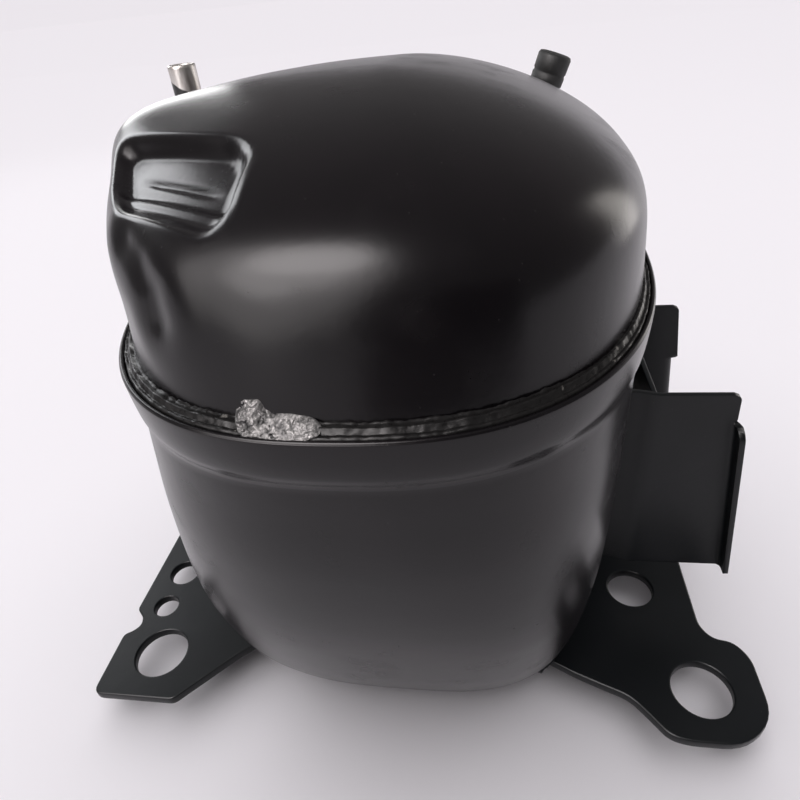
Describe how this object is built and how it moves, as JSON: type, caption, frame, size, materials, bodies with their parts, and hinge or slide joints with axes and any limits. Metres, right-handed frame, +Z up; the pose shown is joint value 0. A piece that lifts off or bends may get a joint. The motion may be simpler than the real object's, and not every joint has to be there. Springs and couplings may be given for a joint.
{
  "type": "hermetic reciprocating compressor",
  "caption": "Welded black compressor shell on two foot plates with a terminal bracket and tube stubs, holding a sprung motor, crank, piston, valves and head.",
  "frame": {"origin": "centre of the flat bottom of the shell", "axes": "+Z up; +X out of the terminal side, across the foot plates; -Y to the front, the way the cylinder points"},
  "size_m": [0.198, 0.1714, 0.1696],
  "materials": {
    "shell_paint": "gloss black enamel over pressed steel",
    "foot_paint": "satin black enamel over steel sheet",
    "weld": "rough weld bead under thin black paint",
    "stub_paint": "black enamel over steel tube",
    "stub_metal": "bare copper-plated steel end above black enamel",
    "plug_rubber": "black rubber",
    "terminal_glass": "plated steel cup with glass seals",
    "pin_metal": "plated pins",
    "cluster_plastic": "white moulded plastic",
    "lamination": "stacked electrical steel, blued edges",
    "copper": "enamelled copper wire and copper tube",
    "rotor_iron": "laminations with cast aluminium end rings",
    "machined_steel": "ground steel",
    "castings": "grey cast iron",
    "reed_steel": "blued strip steel",
    "gasket": "dark fibre gasket",
    "muffler_plastic": "natural moulded plastic",
    "bolt_steel": "phosphated steel",
    "spring_steel": "drawn spring wire",
    "seat_steel": "pressed steel"
  },
  "bodies": {
    "housing": {"lower_shell": "shell_paint", "top_cover": "shell_paint", "weld_bead": "weld", "left_foot": "foot_paint", "right_foot": "foot_paint", "terminal_bracket": "foot_paint", "terminal_body": "terminal_glass", "terminal_pin_common": "pin_metal", "terminal_pin_start": "pin_metal", "terminal_pin_run": "pin_metal", "cluster_block": "cluster_plastic", "suction_stub": "stub_metal", "discharge_stub": "stub_paint", "process_stub": "stub_paint", "stub_plug": "plug_rubber", "spring_seat_1": "seat_steel", "spring_seat_2": "seat_steel", "spring_seat_3": "seat_steel", "spring_seat_4": "seat_steel", "spring_1": "spring_steel", "spring_2": "spring_steel", "spring_3": "spring_steel", "spring_4": "spring_steel"},
    "pump_unit": {"stator_core": "lamination", "stator_winding": "copper", "crankcase": "castings", "valve_plate": "machined_steel", "head_gasket": "gasket", "cylinder_head": "castings", "suction_muffler": "muffler_plastic", "discharge_muffler": "castings", "discharge_line": "copper", "head_bolt_1": "bolt_steel", "head_bolt_2": "bolt_steel", "head_bolt_3": "bolt_steel", "head_bolt_4": "bolt_steel", "stator_bolt_1": "bolt_steel", "stator_bolt_2": "bolt_steel", "stator_bolt_3": "bolt_steel", "stator_bolt_4": "bolt_steel"},
    "crank": {"crankshaft": "machined_steel", "rotor": "rotor_iron", "counterweight": "machined_steel", "oil_pickup": "machined_steel"},
    "slider": {"slide_block": "machined_steel"},
    "gallery_plug": {"oil_gallery_plug": "machined_steel"},
    "piston": {"piston": "machined_steel"},
    "suction_valve": {"suction_reed": "reed_steel"},
    "discharge_valve": {"discharge_reed": "reed_steel"}
  },
  "joints": [
    {"name": "suspension", "type": "slide", "parent": "housing", "child": "pump_unit", "axis": [0, 0, 1], "range_m": [-0.003, 0.003], "stiffness_N_per_m": 20000, "springref_m": 0.002, "deforming": ["spring_1", "spring_2", "spring_3", "spring_4"]},
    {"name": "crank_spin", "type": "hinge", "parent": "pump_unit", "child": "crank", "pos_m": [0, 0.01, 0.1], "axis": [0, 0, 1], "continuous": true},
    {"name": "slider_turn", "type": "hinge", "parent": "crank", "child": "slider", "pos_m": [0.009, 0.01, 0.128], "axis": [0, 0, 1], "continuous": true},
    {"name": "plug_turn", "type": "hinge", "parent": "crank", "child": "gallery_plug", "pos_m": [0.0045, 0.01, 0.133], "axis": [0, 0, 1], "continuous": true},
    {"name": "piston_stroke", "type": "hinge", "parent": "gallery_plug", "child": "piston", "pos_m": [0, 0.01, 0.128], "axis": [0, 0, 1], "continuous": true},
    {"name": "suction_reed_lift", "type": "hinge", "parent": "pump_unit", "child": "suction_valve", "pos_m": [0, -0.0445, 0.1365], "axis": [1, 0, 0], "range_deg": [0, 4], "stiffness_Nm_per_rad": 0.01},
    {"name": "discharge_reed_lift", "type": "hinge", "parent": "pump_unit", "child": "discharge_valve", "pos_m": [0.0075, -0.0486, 0.1362], "axis": [-1, 0, 0], "range_deg": [0, 4], "stiffness_Nm_per_rad": 0.01}
  ],
  "couplings": [
    {"joint": "slider_turn", "follows": "crank_spin", "ratio": -1},
    {"joint": "plug_turn", "follows": "crank_spin", "ratio": -2},
    {"joint": "piston_stroke", "follows": "crank_spin", "ratio": 1}
  ]
}
